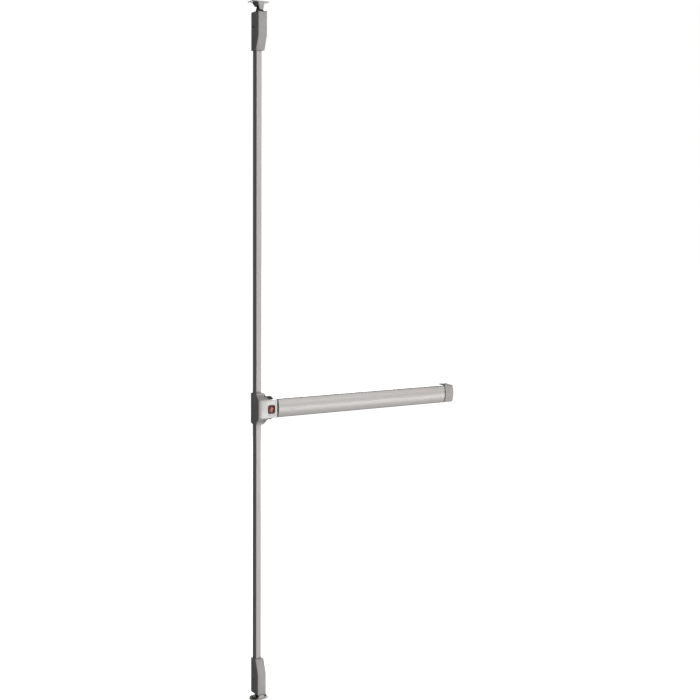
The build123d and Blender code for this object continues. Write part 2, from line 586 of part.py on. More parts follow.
# ---------------------------------------------------------------- latch cases
def latch(sign, end, throw, tip_half):
    """Case, chassis, bolt, nut, spring and screws; sign +1 points the bolt up."""
    def at(w):
        return end - sign * w

    nodes = {}
    half = CASE_WIDTH / 2
    outline = [(0, 0), (-CASE_DEPTH, 0), (-CASE_DEPTH, CASE_TAPER_START), (-CASE_NECK_DEPTH, CASE_LENGTH),
               (0, CASE_LENGTH)]
    shell = prism_x([(y, at(w)) for y, w in outline], (-half, half))
    shell = soften(shell, 3.0, lambda c: abs(abs(c.X) - half) < 0.01 and c.Y < -CASE_NECK_DEPTH - 1 and
                   abs(c.Z - end) > 1)
    wall = CASE_WALL
    inside = [(1, -1), (-CASE_DEPTH + wall, -1), (-CASE_DEPTH + wall, CASE_TAPER_START),
              (-CASE_NECK_DEPTH + wall, CASE_LENGTH - wall), (1, CASE_LENGTH - wall)]
    shell -= prism_x([(y, at(w)) for y, w in inside], (-half + wall, half - wall))
    mouth = (at(CASE_SEAT - 1), at(CASE_LENGTH + 1))
    shell -= block((-CHANNEL_CLEAR, CHANNEL_CLEAR), (-CHANNEL_DEPTH - GAP, 1), mouth)
    rail_out = half - wall - 0.6
    rail_in = BOLT_WIDTH / 2
    frame = block((-rail_out, rail_out), (-3, 0), (at(0.5), at(CASE_SEAT - 3)))
    frame += block((-half + 0.2, half - 0.2), (-CASE_DEPTH + 0.5, 0), (at(-2.2), at(-0.2)))
    frame += block((-rail_out, rail_out), (-3, 0), (at(-1), at(2)))
    for side in (1, -1):
        frame += block((side * rail_in, side * rail_out), (-36, -2), (at(6), at(70)))
    frame += block((-rail_out, rail_out), (-20, -2), (at(SPRING_SEAT), at(SPRING_SEAT + 4)))
    frame -= round_z(0, ROD_Y, (at(SPRING_SEAT - 3), at(SPRING_SEAT + 8)), ROD_RADIUS + GAP)
    slack = BOLT_WIDTH / 2 + GAP
    frame -= block((-slack, slack), (BOLT_FRONT - GAP, BOLT_BACK + GAP), (at(-4), at(1)))
    head = BOLT_WIDTH / 2 - 0.1
    body = head - 0.2
    nose_points = [(-head, 1), (-head, -4), (-tip_half, -throw), (tip_half, -throw), (head, -4), (head, 1)]
    bolt = prism_y([(x, at(w)) for x, w in nose_points], (BOLT_FRONT, BOLT_BACK))
    bevel = [(BOLT_FRONT - 1, -throw * 0.4), (BOLT_FRONT + 7.5, -throw - 0.5),
             (BOLT_FRONT - 1, -throw - 0.5)]
    bolt -= prism_x([(y, at(w)) for y, w in bevel], (-20, 20))
    bolt += block((-body, body), (BOLT_FRONT, -5), (at(0.4), at(BOLT_BODY_END)))
    bolt -= round_z(0, ROD_Y, (at(BOLT_ROD_TOP - 0.3), at(BOLT_BODY_END + 1)), ROD_RADIUS + SEAT)
    nut_end = BOLT_BODY_END + 0.1 + NUT_HEIGHT
    nut = hex_nut((at(BOLT_BODY_END + 0.1), at(nut_end)), NUT_ACROSS, ROD_RADIUS + SEAT)
    near = nut_end + SPRING_WIRE + 0.2
    far = SPRING_SEAT - SPRING_WIRE - 0.2
    spring = coil(ROD_RADIUS + 1.8, SPRING_WIRE, far - near, SPRING_TURNS)
    spring = Pos(0, ROD_Y, min(at(near), at(far))) * spring
    screws = Part()
    for side in (1, -1):
        z = at(CASE_SCREW_W)
        shell -= round_x((side * (half - 1.0), side * (half + 1)), CASE_SCREW_Y, z, 3.5)
        shell -= round_x((side * 10, side * half), CASE_SCREW_Y, z, 1.8)
        frame -= round_x((side * 10, side * half), CASE_SCREW_Y, z, 1.5 + SEAT)
        screw = round_x((side * (half - 0.95), side * (half + 0.5)), CASE_SCREW_Y, z, 3.2)
        screw += round_x((side * (rail_in + 0.1), side * (half - 0.9)), CASE_SCREW_Y, z, 1.5)
        slot = (side * (half - 0.2), side * (half + 1))
        screw -= block(slot, (CASE_SCREW_Y - 0.4, CASE_SCREW_Y + 0.4), (z - 2.4, z + 2.4))
        screws += screw
    for w in CASE_FIX_W:
        frame -= round_y(0, (-4, 1), at(w), FIXING_RADIUS)
    nodes["case_cover"] = shell
    nodes["case_frame"] = frame
    nodes["bolt"] = bolt
    nodes["bolt_nut"] = nut
    nodes["bolt_spring"] = spring
    nodes["case_screws"] = screws
    column(sign, end, nodes)
    return nodes


for prefix, group in (("upper_", latch(1, TOP_END, TOP_BOLT_THROW, 4.0)),
                      ("lower_", latch(-1, BOTTOM_END, FLOOR_BOLT_THROW, 9.0))):
    for name, shape in group.items():
        keep(prefix + name, shape)

# ---------------------------------------------------------------- top strike
plate_under = TOP_END + STRIKE_GAP
plate_over = plate_under + STRIKE_PLATE
lip_y = BOLT_BACK + 1.5
lip_z = TOP_END + TOP_BOLT_THROW - ROD_TRAVEL + 1.0
tip = TOP_END + 8.0
strike = block((-STRIKE_HALF_WIDTH, STRIKE_HALF_WIDTH), (-STRIKE_DEPTH, 0), (plate_under, plate_over))
ramp = [(1.6, plate_over), (lip_y, lip_z), (lip_y + 0.2, lip_z + 3.4), (-2.0, plate_over)]
strike += prism_x(ramp, (-14, 14))
front = -41.0
gusset = [(-30, plate_under + 1), (-36, plate_under - 11), (-36.5, tip), (front, tip),
          (front, plate_under + 1)]
taper = [(-12, plate_under + 1), (-7.5, tip + 4), (-5.5, tip), (5.5, tip), (7.5, tip + 4),
         (12, plate_under + 1)]
strike += prism_x(gusset, (-20, 20)) & prism_y(taper, (-60, 0))
for x in (-22, 22):
    for y in (-9, -31):
        strike -= round_z(x, y, (plate_under - 1, plate_over + 1), STRIKE_HOLE)
keep("top_strike", strike)
keep("top_strike_shim", block((-17.5, 17.5), (-18, -3), (plate_over, plate_over + 4)))

# ---------------------------------------------------------------- floor strike
plate_top = BOTTOM_END - FLOOR_GAP
plate_low = plate_top - FLOOR_PLATE
seat_low = plate_top - 1
tongue_top = BOTTOM_END - 3.0
through = (plate_low - 1, plate_top + 9)
plate = extrude(Pos(0, FLOOR_Y, plate_low) * SlotOverall(FLOOR_LENGTH, FLOOR_WIDTH), amount=FLOOR_PLATE)
flare = [(-17, plate_low), (-15, plate_top + 1), (-10, plate_top + 5), (-8.5, tongue_top),
         (8.5, tongue_top), (10, plate_top + 5), (15, plate_top + 1), (17, plate_low)]
plate += prism_y(flare, (-47, -40.5))
recess = SlotOverall(SOCKET_LENGTH + 0.4, SOCKET_WIDTH + 0.4)
plate -= extrude(Pos(0, SOCKET_Y, seat_low) * recess, amount=10)
socket = extrude(Pos(0, SOCKET_Y, seat_low) * SlotOverall(SOCKET_LENGTH, SOCKET_WIDTH), amount=4.0)
mouth = block((-BOLT_WIDTH / 2 - 1, BOLT_WIDTH / 2 + 1), (BOLT_FRONT - 1, BOLT_BACK + 1.5), through)
plate -= mouth
socket -= mouth
for x in (-23, 23):
    plate -= round_z(x, SOCKET_Y, through, STRIKE_HOLE)
    socket -= round_z(x, SOCKET_Y, through, STRIKE_HOLE + 0.8)
keep("floor_strike", plate)
keep("floor_socket", socket)

# ---------------------------------------------------------------- end bracket and cap
bracket_left = END_PIVOT_X - 14.0
outer = HALF_BAR - 0.4
inner = HALF_BAR - 3.0
bracket = block((bracket_left, CAP_RIGHT - 0.5), (CAP_BACK + GAP, 0), (-outer, outer))
bracket -= block((bracket_left - 1, CAP_RIGHT - 2.0), (CAP_BACK - 1, -4), (-inner, inner))
bracket += block((CAP_RIGHT - 4, CAP_RIGHT + 10), (-6, 0), (-outer, outer))
bracket += mirror(bearing_lugs(LEVER_PIVOT_X, LEVER_PIN_RADIUS + SEAT), about=ACROSS)
tab_back = LEVER_PIVOT_Y - LEVER_EYE - 1.5
bracket += block((CAP_RIGHT - 6, CAP_RIGHT - 0.5), (CAP_BACK + GAP, tab_back), (-7, 7))
bracket += block((CAP_RIGHT - 6, CAP_RIGHT - BAR_WALL - GAP), (CAP_SCREW_Y - 3.5, tab_back), (-7, 7))
bracket -= round_x((CAP_RIGHT - 13, CAP_RIGHT + 1), CAP_SCREW_Y, 0, SCREW_RADIUS + SEAT)
for x in (-8.0, 12.0):
    bracket -= both(round_y(END_PIVOT_X + x, (-5, 1), 13.0, FIXING_RADIUS))
cap = bar_section(0, (CAP_LEFT, CAP_RIGHT)) & block((0, CAP_RIGHT), (BAR_FRONT - 1, CAP_BACK), (-50, 50))
cap = soften(cap, 1.5, lambda c: abs(c.X - CAP_RIGHT) < 0.01 and c.Y < CAP_BACK - 1)
cap -= bar_section(BAR_WALL, (CAP_LEFT - 1, CAP_RIGHT - BAR_WALL))
cap -= round_x((CAP_RIGHT - 5, CAP_RIGHT + 1), CAP_SCREW_Y, 0, SCREW_HOLE)
cap_screw = round_x((CAP_RIGHT + 0.1, CAP_RIGHT + 1.8), CAP_SCREW_Y, 0, PLUG_HEAD)
cap_screw += round_x((CAP_RIGHT - 12, CAP_RIGHT + 0.2), CAP_SCREW_Y, 0, SCREW_RADIUS)
keep("end_bracket", bracket)
keep("end_cap", cap)
keep("end_cap_screw", cap_screw)

os.makedirs("parts", exist_ok=True)
for name, shape in parts.items():
    export_step(shape, f"parts/{name}.step")
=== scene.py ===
"""Finishes, detail pieces and studio for a panic exit bar with covered vertical rods."""

import json
import math

import bmesh
import bpy
from bpy.props import FloatProperty, FloatVectorProperty, IntProperty, PointerProperty, StringProperty
from mathutils import Matrix, Vector


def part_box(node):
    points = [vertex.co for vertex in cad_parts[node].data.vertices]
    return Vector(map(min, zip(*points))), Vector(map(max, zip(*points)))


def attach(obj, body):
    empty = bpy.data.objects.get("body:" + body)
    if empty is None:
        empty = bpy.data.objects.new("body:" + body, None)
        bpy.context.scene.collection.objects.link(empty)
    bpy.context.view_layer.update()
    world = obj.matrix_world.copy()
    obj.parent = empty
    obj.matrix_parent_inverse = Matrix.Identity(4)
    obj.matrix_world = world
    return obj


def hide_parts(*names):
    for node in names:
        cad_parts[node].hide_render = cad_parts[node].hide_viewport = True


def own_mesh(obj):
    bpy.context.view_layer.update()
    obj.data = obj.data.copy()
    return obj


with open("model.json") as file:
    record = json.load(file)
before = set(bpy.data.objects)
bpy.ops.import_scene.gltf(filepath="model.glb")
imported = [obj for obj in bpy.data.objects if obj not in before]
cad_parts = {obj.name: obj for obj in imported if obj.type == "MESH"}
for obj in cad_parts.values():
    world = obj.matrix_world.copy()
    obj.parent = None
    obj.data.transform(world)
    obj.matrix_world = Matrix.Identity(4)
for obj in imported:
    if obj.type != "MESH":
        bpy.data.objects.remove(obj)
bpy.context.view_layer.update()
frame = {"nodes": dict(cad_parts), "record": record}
NODES = frame["nodes"]

bl_info = {
    "name": "Panic Exit Bar",
    "version": (1, 0, 0),
    "blender": (4, 5, 0),
    "location": "View3D > Sidebar > Exit Bar",
    "description": "Dresses the packed exit bar with softened castings, fixings, springs and finishes",
    "category": "Object",
}

MM = 0.001
WELD = 2e-6             # metres: corners closer than this are one corner
FLAT_ANGLE = 0.6        # degrees: faces that meet at less are one flat
SMOOTH_CASTING = 38     # degrees: edges sharper than these stay crisp
SMOOTH_SCREW = 35
SMOOTH_BADGE = 40
BADGE_CORNER = 6.0      # millimetres
BADGE_DISH = 0.45       # millimetres, from the rim down to the face
BOLT_WIRE = 0.8         # millimetres, wire radius
RETURN_WIRE = 0.6
WIRE_STEPS = 20         # points in one turn of wire


# ---------------------------------------------------------------- colour and node helpers
def srgb(code):
    """Linear colour with alpha from an sRGB hex value such as #C8C6C4."""
    values = [int(code[i:i + 2], 16) / 255 for i in (1, 3, 5)]
    linear = [v / 12.92 if v <= 0.04045 else ((v + 0.055) / 1.055) ** 2.4 for v in values]
    return (*linear, 1.0)


def add_node(tree, kind, inputs=None, **settings):
    """Add a node; inputs hold plain values or the sockets that feed them."""
    node = tree.nodes.new(kind)
    for key, value in settings.items():
        setattr(node, key, value)
    for key, value in (inputs or {}).items():
        if isinstance(value, bpy.types.NodeSocket):
            tree.links.new(value, node.inputs[key])
        else:
            node.inputs[key].default_value = value
    return node


def blank_material(name, metallic, roughness, ior=None, coat=0.0):
    """Material with one principled shader and object coordinates in millimetres."""
    material = bpy.data.materials.new(name)
    material.use_nodes = True
    tree = material.node_tree
    shader = tree.nodes["Principled BSDF"]
    shader.inputs["Metallic"].default_value = metallic
    shader.inputs["Roughness"].default_value = roughness
    shader.inputs["Coat Weight"].default_value = coat
    if ior:
        shader.inputs["IOR"].default_value = ior
    place = add_node(tree, "ShaderNodeTexCoord")
    size = add_node(tree, "ShaderNodeMapping",
                    {"Vector": place.outputs["Object"], "Scale": (1 / MM, 1 / MM, 1 / MM)})
    return material, tree, shader, size.outputs["Vector"]


def noise(tree, vector, grain, stretch=(1, 1, 1), detail=3.0):
    """Noise whose features are about grain millimetres across before the stretch."""
    scale = add_node(tree, "ShaderNodeMapping", {"Vector": vector, "Scale": [1 / s for s in stretch]})
    cloud = add_node(tree, "ShaderNodeTexNoise", {"Vector": scale.outputs["Vector"], "Scale": 1 / grain,
                                                  "Detail": detail, "Roughness": 0.55})
    return cloud.outputs["Fac"]


def tint(tree, shader, factor, dark, light, low=0.3, high=0.7):
    """Base colour that drifts between two hex colours."""
    ramp = add_node(tree, "ShaderNodeValToRGB", {"Fac": factor})
    ramp.color_ramp.elements[0].position = low
    ramp.color_ramp.elements[0].color = srgb(dark)
    ramp.color_ramp.elements[1].position = high
    ramp.color_ramp.elements[1].color = srgb(light)
    tree.links.new(ramp.outputs["Color"], shader.inputs["Base Color"])


def vary_roughness(tree, shader, factor, low, high):
    """Roughness that drifts between two values, so highlights aren't even."""
    spread = add_node(tree, "ShaderNodeMapRange", {"Value": factor, "To Min": low, "To Max": high})
    tree.links.new(spread.outputs["Result"], shader.inputs["Roughness"])


def bump(tree, shader, factor, depth, strength=0.3):
    """Fine relief; depth is in millimetres."""
    relief = add_node(tree, "ShaderNodeBump",
                      {"Height": factor, "Distance": depth * MM, "Strength": strength})
    tree.links.new(relief.outputs["Normal"], shader.inputs["Normal"])


# ---------------------------------------------------------------- finishes
def spark_eroded_abs(name, dark, light):
    """Moulded ABS in a spark-eroded tool: satin, with a fine even grain that softens its highlights."""
    material, tree, shader, mm = blank_material(name, 0.0, 0.46, ior=1.54)
    tint(tree, shader, noise(tree, mm, 18.0), dark, light)
    vary_roughness(tree, shader, noise(tree, mm, 4.0), 0.40, 0.54)
    # The real grain is 0.3 mm; it is drawn at 0.9 mm so that it shows.
    bump(tree, shader, noise(tree, mm, 0.9, detail=2.0), 0.05, 0.35)
    return material


def lacquered_extrusion(name, dark, light):
    """Lacquered aluminium extrusion: faint die lines run the length of the channel under the lacquer."""
    material, tree, shader, mm = blank_material(name, 0.35, 0.42, coat=0.15)
    lines = noise(tree, mm, 1.2, stretch=(1, 1, 80))
    tint(tree, shader, lines, dark, light)
    vary_roughness(tree, shader, noise(tree, mm, 25.0), 0.38, 0.50)
    bump(tree, shader, lines, 0.02, 0.25)
    return material


def silver_lacquer(name, dark, light):
    """Silver lacquer on moulded ABS: flakes of 0.2 mm, drawn at 0.7 mm, catch the light one by one."""
    material, tree, shader, mm = blank_material(name, 0.45, 0.34, coat=0.3)
    flakes = add_node(tree, "ShaderNodeTexVoronoi", {"Vector": mm, "Scale": 1 / 0.7}).outputs["Color"]
    bright = add_node(tree, "ShaderNodeRGBToBW", {"Color": flakes}).outputs["Val"]
    tint(tree, shader, bright, dark, light, 0.1, 0.9)
    vary_roughness(tree, shader, noise(tree, mm, 12.0), 0.30, 0.40)
    bump(tree, shader, noise(tree, mm, 2.5), 0.02, 0.15)
    return material


def satin_anodised(name, dark, light):
    """Satin anodised aluminium: drawn lines along the bar spread its highlight into a soft band."""
    material, tree, shader, mm = blank_material(name, 0.85, 0.36)
    lines = noise(tree, mm, 0.8, stretch=(60, 1, 1), detail=4.0)
    tint(tree, shader, lines, dark, light, 0.25, 0.75)
    vary_roughness(tree, shader, noise(tree, mm, 1.6, stretch=(40, 1, 1)), 0.32, 0.44)
    bump(tree, shader, lines, 0.015, 0.22)
    return material


def glass_filled_nylon(name, dark, light):
    """Glass-filled nylon: near black, with a dry bloom where fibres reach the surface."""
    material, tree, shader, mm = blank_material(name, 0.0, 0.5, ior=1.53)
    tint(tree, shader, noise(tree, mm, 1.5, stretch=(1, 1, 4)), dark, light)
    vary_roughness(tree, shader, noise(tree, mm, 3.0), 0.42, 0.62)
    bump(tree, shader, noise(tree, mm, 1.0), 0.04, 0.3)
    return material


def black_lacquered_zinc(name, dark, light):
    """Die-cast zinc under black lacquer: smooth, slightly wavy, with a low sheen."""
    material, tree, shader, mm = blank_material(name, 0.2, 0.38, coat=0.2)
    tint(tree, shader, noise(tree, mm, 8.0), dark, light)
    vary_roughness(tree, shader, noise(tree, mm, 5.0), 0.30, 0.46)
    bump(tree, shader, noise(tree, mm, 3.0), 0.05, 0.2)
    return material


def zinc_plate(name, dark, light):
    """Bright zinc on pressed steel: cool, with cloudy patches left by the bath."""
    material, tree, shader, mm = blank_material(name, 1.0, 0.33)
    tint(tree, shader, noise(tree, mm, 9.0, detail=5.0), dark, light)
    vary_roughness(tree, shader, noise(tree, mm, 2.0), 0.24, 0.42)
    bump(tree, shader, noise(tree, mm, 1.2, stretch=(1, 1, 8)), 0.02, 0.2)
    return material


def cast_lacquer(name, dark, light):
    """Grey lacquer on a sand-smooth casting, as on strikes that bolts rub against."""
    material, tree, shader, mm = blank_material(name, 0.25, 0.44, coat=0.1)
    tint(tree, shader, noise(tree, mm, 6.0), dark, light)
    vary_roughness(tree, shader, noise(tree, mm, 3.0), 0.36, 0.52)
    bump(tree, shader, noise(tree, mm, 1.4), 0.06, 0.3)
    return material


def drawn_spring_wire(name, dark, light):
    """Hard-drawn spring wire: a dull grey metal with fine draw marks."""
    material, tree, shader, mm = blank_material(name, 1.0, 0.35)
    tint(tree, shader, noise(tree, mm, 1.0, detail=5.0), dark, light)
    vary_roughness(tree, shader, noise(tree, mm, 0.8), 0.28, 0.45)
    bump(tree, shader, noise(tree, mm, 0.6), 0.02, 0.2)
    return material


def gloss_enamel(name, dark, light):
    """Glossy enamel: a deep colour under a hard, shiny surface."""
    material, tree, shader, mm = blank_material(name, 0.0, 0.2, ior=1.45)
    tint(tree, shader, noise(tree, mm, 7.0), dark, light)
    vary_roughness(tree, shader, noise(tree, mm, 4.0), 0.14, 0.26)
    bump(tree, shader, noise(tree, mm, 3.0), 0.02, 0.1)
    return material


def moulded_rubber(name, dark, light):
    """Moulded rubber: black, matt and slightly dusty."""
    material, tree, shader, mm = blank_material(name, 0.0, 0.75, ior=1.5)
    tint(tree, shader, noise(tree, mm, 4.0), dark, light)
    vary_roughness(tree, shader, noise(tree, mm, 2.0), 0.68, 0.86)
    bump(tree, shader, noise(tree, mm, 0.7), 0.05, 0.3)
    return material


# Finishes by the record's slot: the material's name, its maker and its two colours.
FINISHES = {
    "cover_grey": ("Spark-eroded grey ABS", spark_eroded_abs, "#A9A6A4", "#B1AEAC"),
    "nose_silver": ("Silver lacquered ABS", silver_lacquer, "#B5B3B0", "#C1BFBC"),
    "channel_silver": ("Silver-grey lacquered extrusion", lacquered_extrusion, "#AEABA9", "#B8B5B3"),
    "bar_aluminium": ("Satin anodised aluminium", satin_anodised, "#A29F9D", "#ACA9A7"),
    "black_nylon": ("Black glass-filled nylon", glass_filled_nylon, "#060607", "#0E0E0F"),
    "black_metal": ("Black lacquered die-cast zinc", black_lacquered_zinc, "#0A0A0B", "#131314"),
    "zinc_steel": ("Zinc plated steel", zinc_plate, "#A9ADB1", "#C2C5C7"),
    "screw_steel": ("Black zinc plated screw", zinc_plate, "#1C1C1E", "#28282A"),
    "spring_steel": ("Drawn spring wire", drawn_spring_wire, "#8F9092", "#A5A6A8"),
    "strike_grey": ("Grey lacquered metal", cast_lacquer, "#A5A3A1", "#B0AEAC"),
    "badge_red": ("Dark red enamel", gloss_enamel, "#480604", "#560A07"),
    "badge_pale": ("Pale pink enamel", gloss_enamel, "#C8665A", "#D4766A"),
    "buffer_rubber": ("Black moulded rubber", moulded_rubber, "#161616", "#202020"),
}
made = {}


def finish_of(slot_name):
    """The Blender material of one of the record's slots, made the first time it is asked for."""
    if slot_name not in made:
        title, maker, dark, light = FINISHES[slot_name]
        made[slot_name] = maker(title, dark, light)
    return made[slot_name]


SLOT_OF = {row["node"]: row["material_slot"] for row in frame["record"]["subparts"]}
BODY_OF = {node: body for body, nodes in frame["record"]["behaviour"]["bodies"].items() for node in nodes}


# ---------------------------------------------------------------- mesh helpers
def paint(piece, slot_name):
    """Give a piece one finish."""
    piece.data.materials.clear()
    piece.data.materials.append(finish_of(slot_name))


def linked(name, data):
    """New object in the scene that holds the data."""
    thing = bpy.data.objects.new(name, data)
    bpy.context.scene.collection.objects.link(thing)
    return thing


def object_from(work, name):
    """New object with the mesh made from a bmesh, which is then freed."""
    mesh = bpy.data.meshes.new(name)
    work.to_mesh(mesh)
    work.free()
    return linked(name, mesh)


def smooth_by_angle(mesh, degrees):
    """Shade smooth, with sharp edges where faces meet at more than the angle."""
    work = bmesh.new()
    work.from_mesh(mesh)
    limit = math.radians(degrees)
    for face in work.faces:
        face.smooth = True
    for edge in work.edges:
        edge.smooth = len(edge.link_faces) == 2 and edge.calc_face_angle(0.0) < limit
    work.to_mesh(mesh)
    work.free()


def evaluated_mesh(piece):
    """The piece's mesh with its modifiers or its curve worked out."""
    bpy.context.view_layer.update()
    depsgraph = bpy.context.evaluated_depsgraph_get()
    return bpy.data.meshes.new_from_object(piece.evaluated_get(depsgraph))


def freeze(piece):
    """Apply a piece's modifiers to its mesh."""
    mesh = evaluated_mesh(piece)
    piece.modifiers.clear()
    piece.data = mesh


def softened(node, width, segments=3, angle=28):
    """Stand-in for a CAD node with its edges rounded over, as a mould or a casting leaves them."""
    work = bmesh.new()
    work.from_mesh(NODES[node].data)
    bmesh.ops.remove_doubles(work, verts=work.verts, dist=WELD)
    bmesh.ops.dissolve_limit(work, angle_limit=math.radians(FLAT_ANGLE), verts=work.verts, edges=work.edges)
    piece = object_from(work, f"{node}_softened")
    round_over = piece.modifiers.new("edges", "BEVEL")
    round_over.width = width * MM
    round_over.segments = segments
    round_over.limit_method = "ANGLE"
    round_over.angle_limit = math.radians(angle)
    round_over.harden_normals = False
    freeze(piece)
    smooth_by_angle(piece.data, SMOOTH_CASTING)
    paint(piece, SLOT_OF[node])
    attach(piece, BODY_OF[node])
    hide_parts(node)
    return piece


def lathe(profile, count=40):
    """Turned solid about Z from (radius, height) points in millimetres."""
    work = bmesh.new()
    turns = [2 * math.pi * i / count for i in range(count)]
    rings = []
    for radius, height in profile:
        if radius == 0:
            rings.append([work.verts.new((0, 0, height * MM))])
            continue
        reach = radius * MM
        rings.append([work.verts.new((reach * math.cos(turn), reach * math.sin(turn), height * MM))
                      for turn in turns])
    for low, high in zip(rings, rings[1:]):
        for i in range(count):
            j = (i + 1) % count
            corners = [low[i % len(low)], low[j % len(low)], high[j % len(high)], high[i % len(high)]]
            corners = list(dict.fromkeys(corners))
            if len(corners) > 2:
                work.faces.new(corners)
    bmesh.ops.recalc_face_normals(work, faces=work.faces)
    return work


def cut_box(piece, low, high):
    """Cut a box out of a piece; corners in millimetres."""
    middle = [(a + b) / 2 * MM for a, b in zip(low, high)]
    size = [(b - a) * MM for a, b in zip(low, high)]
    work = bmesh.new()
    bmesh.ops.create_cube(work, size=1, matrix=Matrix.Translation(middle) @ Matrix.Diagonal((*size, 1)))
    cutter = object_from(work, "cutter")
    cut = piece.modifiers.new("cut", "BOOLEAN")
    cut.operation = "DIFFERENCE"
    cut.object = cutter
    cut.solver = "EXACT"
    freeze(piece)
    bpy.data.objects.remove(cutter)


def cross_head(name, radius, height, shank, shank_radius):
    """Pan-head screw along +Z: domed head above zero, cross recess, shank below with a pointed tip."""
    shank_profile = [(0, -shank), (shank_radius * 0.55, -shank + 0.2), (shank_radius, -shank + 1.4),
                     (shank_radius, 0)]
    head_profile = [(radius * 0.97, 0), (radius, height * 0.22), (radius * 0.97, height * 0.5),
                    (radius * 0.82, height * 0.82), (radius * 0.45, height * 0.98), (0, height)]
    screw = object_from(lathe(shank_profile + head_profile), name)
    reach = radius * 0.52
    width = radius * 0.13
    for half_x, half_y in ((reach, width), (width, reach)):
        cut_box(screw, (-half_x, -half_y, height * 0.3), (half_x, half_y, height * 2))
    return screw


def joined(pieces, name):
    """One object from several, each in its own place."""
    work = bmesh.new()
    for piece in pieces:
        mesh = piece.data.copy()
        mesh.transform(piece.matrix_world)
        work.from_mesh(mesh)
        bpy.data.meshes.remove(mesh)
        bpy.data.objects.remove(piece)
    return object_from(work, name)


def islands(node):
    """Low and high corners of each separate solid in a node."""
    work = bmesh.new()
    work.from_mesh(NODES[node].data)
    bmesh.ops.remove_doubles(work, verts=work.verts, dist=WELD)
    left = set(work.verts)
    boxes = []
    while left:
        heap = [left.pop()]
        group = []
        while heap:
            vert = heap.pop()
            group.append(vert.co.copy())
            for edge in vert.link_edges:
                other = edge.other_vert(vert)
                if other in left:
                    left.remove(other)
                    heap.append(other)
        low = Vector([min(p[i] for p in group) for i in range(3)])
        high = Vector([max(p[i] for p in group) for i in range(3)])
        boxes.append((low, high))
    work.free()
    return boxes


def screw_set(node, axis, side, radius, height, shank_radius):
    """Cross-head screws in place of a node's plain ones, found from its separate solids.

    They lie on the axis with their heads at the side: 1, -1, or 0 for away from the rods.
    """
    screws = []
    for low, high in islands(node):
        middle = (low + high) / 2
        sign = side or (1 if middle[axis] > 0 else -1)
        facing = Vector((0, 0, 0))
        facing[axis] = sign
        crown, tip = (high, low) if sign > 0 else (low, high)
        seat = middle.copy()
        seat[axis] = crown[axis] - sign * height * MM
        shank = abs(seat[axis] - tip[axis]) / MM
        screw = cross_head(f"screw_{len(screws)}", radius, height, shank, shank_radius)
        turn = Vector((0, 0, 1)).rotation_difference(facing).to_matrix().to_4x4()
        screw.matrix_world = Matrix.Translation(seat) @ turn
        bpy.context.view_layer.update()
        screws.append(screw)
    piece = joined(screws, f"{node}_cross_head")
    smooth_by_angle(piece.data, SMOOTH_SCREW)
    paint(piece, SLOT_OF[node])
    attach(piece, BODY_OF[node])
    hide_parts(node)


def wound_wire(name, points, wire):
    """Round wire of the given radius along the points, in metres, turned into a mesh."""
    curve = bpy.data.curves.new(name, "CURVE")
    curve.dimensions = "3D"
    curve.bevel_depth = wire
    curve.bevel_resolution = 4
    curve.use_fill_caps = True
    spline = curve.splines.new("POLY")
    spline.points.add(len(points) - 1)
    for slot, point in zip(spline.points, points):
        slot.co = (*point, 1)
    holder = linked(name, curve)
    mesh = evaluated_mesh(holder)
    bpy.data.objects.remove(holder)
    mesh.name = name
    for face in mesh.polygons:
        face.use_smooth = True
    return linked(name, mesh)


# ---------------------------------------------------------------- settings
class ExitBarSizes(bpy.types.PropertyGroup):
    cover_edge: FloatProperty(
        name="Cover edge", description="Round-over on the moulded covers, mm",
        default=0.9, min=0.1, max=3.0)
    metal_edge: FloatProperty(
        name="Metal edge", description="Round-over on castings and pressings, mm",
        default=0.45, min=0.1, max=2.0)
    spring_turns: IntProperty(
        name="Spring turns", description="Working turns of each bolt spring", default=11, min=4, max=30)
    badge_rim: FloatProperty(
        name="Badge rim", description="Width of the raised rim round the badge, mm",
        default=1.3, min=0.5, max=4.0)


class ExitBarStudio(bpy.types.PropertyGroup):
    lens: FloatProperty(
        name="Lens", description="Focal length on a 36 mm sensor",
        default=58.61, min=20, max=200, unit="CAMERA")
    place: FloatVectorProperty(
        name="Camera place", description="Camera position", size=3, subtype="TRANSLATION", unit="LENGTH",
        default=(-1.808, -3.4498, 0.6130))
    heading: FloatProperty(
        name="Heading", description="Turn from straight at the door towards the bar",
        default=math.radians(32.43), subtype="ANGLE")
    tilt: FloatProperty(
        name="Tilt", description="Downward tilt of the camera", default=math.radians(6.05), subtype="ANGLE")
    roll: FloatProperty(
        name="Roll", description="Roll of the camera", default=math.radians(0.55), subtype="ANGLE")
    floor_colour: StringProperty(
        name="Floor colour", description="sRGB hex of the floor", default="#FFFFFF")
    floor_glow: FloatProperty(
        name="Floor glow", description="How far the floor is lit through from below",
        default=0.95, min=0.0, max=2.0)
    key_power: FloatProperty(
        name="Key light", description="Power of the large soft light", default=72.0, min=0.0, unit="POWER")
    fill_power: FloatProperty(
        name="Fill light", description="Power of the high light in front",
        default=105.0, min=0.0, unit="POWER")
    bounce_power: FloatProperty(
        name="Bounce light", description="Power of the light returned from low down",
        default=62.0, min=0.0, unit="POWER")
    strip_power: FloatProperty(
        name="Strip light", description="Power of the low strip that draws the bar's band",
        default=40.0, min=0.0, unit="POWER")
    left_power: FloatProperty(
        name="Left light", description="Power of the weak light that the bar mirrors towards its far end",
        default=18.0, min=0.0, unit="POWER")
    right_power: FloatProperty(
        name="Right light", description="Power of the light on the faces turned from the rods",
        default=30.0, min=0.0, unit="POWER")
    back_power: FloatProperty(
        name="Back light", description="Power of the light on the door's side",
        default=120.0, min=0.0, unit="POWER")
    surround: FloatProperty(
        name="Surround", description="Brightness of the room as the object sees it",
        default=0.12, min=0.0, max=2.0)


